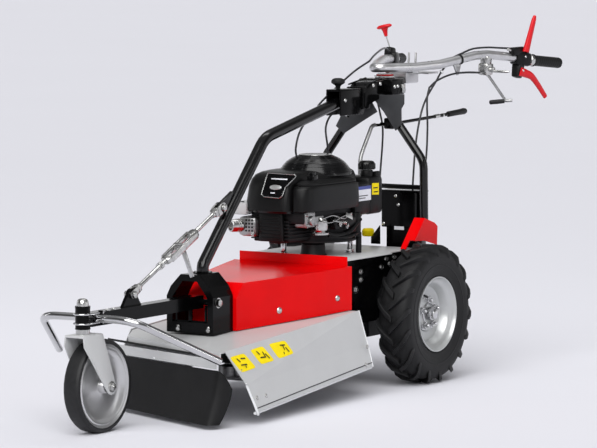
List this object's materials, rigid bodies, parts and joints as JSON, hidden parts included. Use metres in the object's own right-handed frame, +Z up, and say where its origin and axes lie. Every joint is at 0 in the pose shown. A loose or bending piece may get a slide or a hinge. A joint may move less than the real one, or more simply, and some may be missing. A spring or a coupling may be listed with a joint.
{
  "type": "walk-behind brush mower",
  "caption": "Petrol walk-behind brush mower with a belt-driven rotary blade, a swivelling front wheel on an adjustable beam, and two driven rear wheels",
  "frame": {"origin": "on the ground, midway between the front of the front tyre and the ends of the grips, in the middle of the width", "axes": "+X to the machine's left, +Y from the front wheel towards the handlebar, +Z up"},
  "size_m": [0.5944, 2.2056, 1.0705],
  "materials": {
    "deck_plate": "light grey enamel",
    "guard_left": "light grey enamel",
    "guard_right": "light grey enamel",
    "flap_strip": "plain steel",
    "front_bracket": "gloss black enamel",
    "belt_cover": "gloss red enamel",
    "spindle_housing": "dark cast finish",
    "drive_belt": "matte black rubber",
    "chassis_frame": "gloss black enamel",
    "engine_platform": "light grey enamel",
    "platform_lip": "gloss red enamel",
    "axle_gearbox": "dark cast finish",
    "rear_leg_frame": "gloss black enamel",
    "arch_tube": "gloss black enamel",
    "console": "gloss black enamel",
    "control_box": "gloss black enamel",
    "fender_left": "gloss red enamel",
    "fender_right": "gloss red enamel",
    "engine_block": "dark cast finish",
    "engine_shroud": "satin black moulding",
    "recoil_cover": "satin black moulding",
    "air_filter": "satin black moulding",
    "fuel_tank": "satin black moulding",
    "carburettor": "bright metal",
    "muffler": "bright metal",
    "cable_left_lower": "matte black rubber",
    "cable_right_lower": "matte black rubber",
    "left_tyre": "matte black tyre",
    "left_rim": "bright metal",
    "right_tyre": "matte black tyre",
    "right_rim": "bright metal",
    "blade_spindle": "plain steel",
    "cutter_blade": "plain steel",
    "crank_pulley": "plain steel",
    "front_beam": "gloss black enamel",
    "bumper_bar": "bright zinc or chrome plate",
    "caster_fork": "light grey enamel",
    "caster_tyre": "matte black tyre",
    "caster_rim": "bright metal",
    "adjuster_upper_rod": "bright zinc or chrome plate",
    "adjuster_lower_rod": "bright zinc or chrome plate",
    "adjuster_sleeve": "bright zinc or chrome plate",
    "handle_turret": "bright zinc or chrome plate",
    "handlebar_tube": "bright zinc or chrome plate",
    "grip_left": "matte black rubber",
    "grip_right": "matte black rubber",
    "lever_clamp_left": "matte black moulding",
    "lever_clamp_right": "matte black moulding",
    "cable_left_upper": "matte black rubber",
    "cable_right_upper": "matte black rubber",
    "drive_lever": "smooth red moulding",
    "blade_lever": "smooth red moulding",
    "shift_knob": "smooth red moulding",
    "park_lever": "gloss black enamel",
    "gear_lever": "gloss black enamel",
    "gear_link": "plain steel",
    "index_knob": "matte black moulding",
    "fuel_cap": "satin black moulding",
    "front_flap": "matte black rubber"
  },
  "bodies": {
    "chassis": {"deck_plate": "deck_plate", "guard_left": "guard_left", "guard_right": "guard_right", "flap_strip": "flap_strip", "front_bracket": "front_bracket", "belt_cover": "belt_cover", "spindle_housing": "spindle_housing", "drive_belt": "drive_belt", "chassis_frame": "chassis_frame", "engine_platform": "engine_platform", "platform_lip": "platform_lip", "axle_gearbox": "axle_gearbox", "rear_leg_frame": "rear_leg_frame", "arch_tube": "arch_tube", "console": "console", "control_box": "control_box", "fender_left": "fender_left", "fender_right": "fender_right", "engine_block": "engine_block", "engine_shroud": "engine_shroud", "recoil_cover": "recoil_cover", "air_filter": "air_filter", "fuel_tank": "fuel_tank", "carburettor": "carburettor", "muffler": "muffler", "cable_left_lower": "cable_left_lower", "cable_right_lower": "cable_right_lower"},
    "left_wheel": {"left_tyre": "left_tyre", "left_rim": "left_rim"},
    "right_wheel": {"right_tyre": "right_tyre", "right_rim": "right_rim"},
    "blade": {"blade_spindle": "blade_spindle", "cutter_blade": "cutter_blade"},
    "crank": {"crank_pulley": "crank_pulley"},
    "beam": {"front_beam": "front_beam", "bumper_bar": "bumper_bar"},
    "fork": {"caster_fork": "caster_fork"},
    "caster_wheel": {"caster_tyre": "caster_tyre", "caster_rim": "caster_rim"},
    "adjuster_upper": {"adjuster_upper_rod": "adjuster_upper_rod"},
    "adjuster_lower": {"adjuster_lower_rod": "adjuster_lower_rod"},
    "sleeve": {"adjuster_sleeve": "adjuster_sleeve"},
    "turret": {"handle_turret": "handle_turret"},
    "handlebar": {"handlebar_tube": "handlebar_tube", "grip_left": "grip_left", "grip_right": "grip_right", "lever_clamp_left": "lever_clamp_left", "lever_clamp_right": "lever_clamp_right", "cable_left_upper": "cable_left_upper", "cable_right_upper": "cable_right_upper"},
    "drive_lever": {"drive_lever": "drive_lever"},
    "blade_lever": {"blade_lever": "blade_lever"},
    "shift_knob": {"shift_knob": "shift_knob"},
    "park_lever": {"park_lever": "park_lever"},
    "gear_lever": {"gear_lever": "gear_lever"},
    "gear_link": {"gear_link": "gear_link"},
    "index_knob": {"index_knob": "index_knob"},
    "fuel_cap": {"fuel_cap": "fuel_cap"},
    "flap": {"front_flap": "front_flap"}
  },
  "joints": [
    {"name": "left_wheel_spin", "type": "hinge", "parent": "chassis", "child": "left_wheel", "pos_m": [0.2285, 0.3632, 0.205], "axis": [1, 0, 0], "continuous": true},
    {"name": "right_wheel_spin", "type": "hinge", "parent": "chassis", "child": "right_wheel", "pos_m": [-0.2285, 0.3632, 0.205], "axis": [1, 0, 0], "continuous": true},
    {"name": "blade_spin", "type": "hinge", "parent": "chassis", "child": "blade", "pos_m": [0, -0.3368, 0.078], "axis": [0, 0, 1], "continuous": true},
    {"name": "crank_spin", "type": "hinge", "parent": "chassis", "child": "crank", "pos_m": [0, 0.1232, 0.262], "axis": [0, 0, 1], "continuous": true},
    {"name": "beam_pivot", "type": "hinge", "parent": "chassis", "child": "beam", "pos_m": [0, -0.5088, 0.308], "axis": [1, 0, 0], "range_deg": [-4, 4]},
    {"name": "caster_swivel", "type": "hinge", "parent": "beam", "child": "fork", "pos_m": [0, -1.0438, 0.27], "axis": [0, 0, 1], "continuous": true},
    {"name": "caster_spin", "type": "hinge", "parent": "fork", "child": "caster_wheel", "pos_m": [0, -0.9768, 0.126], "axis": [1, 0, 0], "continuous": true},
    {"name": "adjuster_hinge", "type": "hinge", "parent": "chassis", "child": "adjuster_upper", "pos_m": [0, -0.3788, 0.56], "axis": [1, 0, 0], "range_deg": [-2.5, 2.5]},
    {"name": "adjuster_slide", "type": "slide", "parent": "adjuster_upper", "child": "adjuster_lower", "axis": [0, -0.908, -0.4191], "range_m": [-0.0125, 0.0125]},
    {"name": "adjuster_sleeve_turn", "type": "hinge", "parent": "adjuster_upper", "child": "sleeve", "pos_m": [0, -0.5777, 0.4682], "axis": [0, -0.908, -0.4191], "continuous": true},
    {"name": "turret_yaw", "type": "hinge", "parent": "chassis", "child": "turret", "pos_m": [0, 0.5172, 0.885], "axis": [0, 0, 1], "range_deg": [-25, 25], "deforming": ["cable_left_upper", "cable_left_lower", "cable_right_upper", "cable_right_lower"]},
    {"name": "handle_pitch", "type": "hinge", "parent": "turret", "child": "handlebar", "pos_m": [0, 0.5172, 0.905], "axis": [1, 0, 0], "range_deg": [-6, 12], "deforming": ["cable_left_upper", "cable_left_lower", "cable_right_upper", "cable_right_lower"]},
    {"name": "drive_lever_squeeze", "type": "hinge", "parent": "handlebar", "child": "drive_lever", "pos_m": [0.247, 0.9697, 0.957], "axis": [1, 0, 0], "range_deg": [-70, 0], "stiffness_Nm_per_rad": 0.4, "springref_deg": 22.92},
    {"name": "blade_lever_squeeze", "type": "hinge", "parent": "handlebar", "child": "blade_lever", "pos_m": [0.227, 0.9592, 0.872], "axis": [1, 0, 0], "range_deg": [0, 25], "stiffness_Nm_per_rad": 0.4, "springref_deg": -22.92},
    {"name": "shift_knob_tilt", "type": "hinge", "parent": "handlebar", "child": "shift_knob", "pos_m": [-0.234, 0.9402, 0.968], "axis": [1, 0, 0], "range_deg": [-15, 15]},
    {"name": "park_lever_tilt", "type": "hinge", "parent": "handlebar", "child": "park_lever", "pos_m": [0.178, 0.8232, 0.885], "axis": [1, 0, 0], "range_deg": [0, 40]},
    {"name": "gear_lever_tilt", "type": "hinge", "parent": "chassis", "child": "gear_lever", "pos_m": [0.03, 0.4932, 0.748], "axis": [1, 0, 0], "range_deg": [-10, 10]},
    {"name": "gear_link_eye", "type": "hinge", "parent": "gear_lever", "child": "gear_link", "pos_m": [0, 0.4532, 0.746], "axis": [1, 0, 0], "range_deg": [-10, 10]},
    {"name": "index_knob_pull", "type": "slide", "parent": "chassis", "child": "index_knob", "axis": [0, 0, 1], "range_m": [0, 0.01], "stiffness_N_per_m": 300, "springref_m": -0.005},
    {"name": "fuel_cap_turn", "type": "hinge", "parent": "chassis", "child": "fuel_cap", "pos_m": [0.072, 0.2932, 0.626], "axis": [0, 0, 1], "range_deg": [0, 120]},
    {"name": "flap_swing", "type": "hinge", "parent": "chassis", "child": "flap", "pos_m": [0.0015, -0.6668, 0.161], "axis": [-0.9473, 0.3204, 0], "range_deg": [-5, 24], "stiffness_Nm_per_rad": 6}
  ],
  "couplings": [
    {"joint": "crank_spin", "follows": "blade_spin", "ratio": 1.2},
    {"joint": "adjuster_hinge", "follows": "beam_pivot", "ratio": 0.5406},
    {"joint": "adjuster_slide", "follows": "beam_pivot", "m_per_rad": 0.1743},
    {"joint": "gear_link_eye", "follows": "gear_lever_tilt", "ratio": -1}
  ]
}
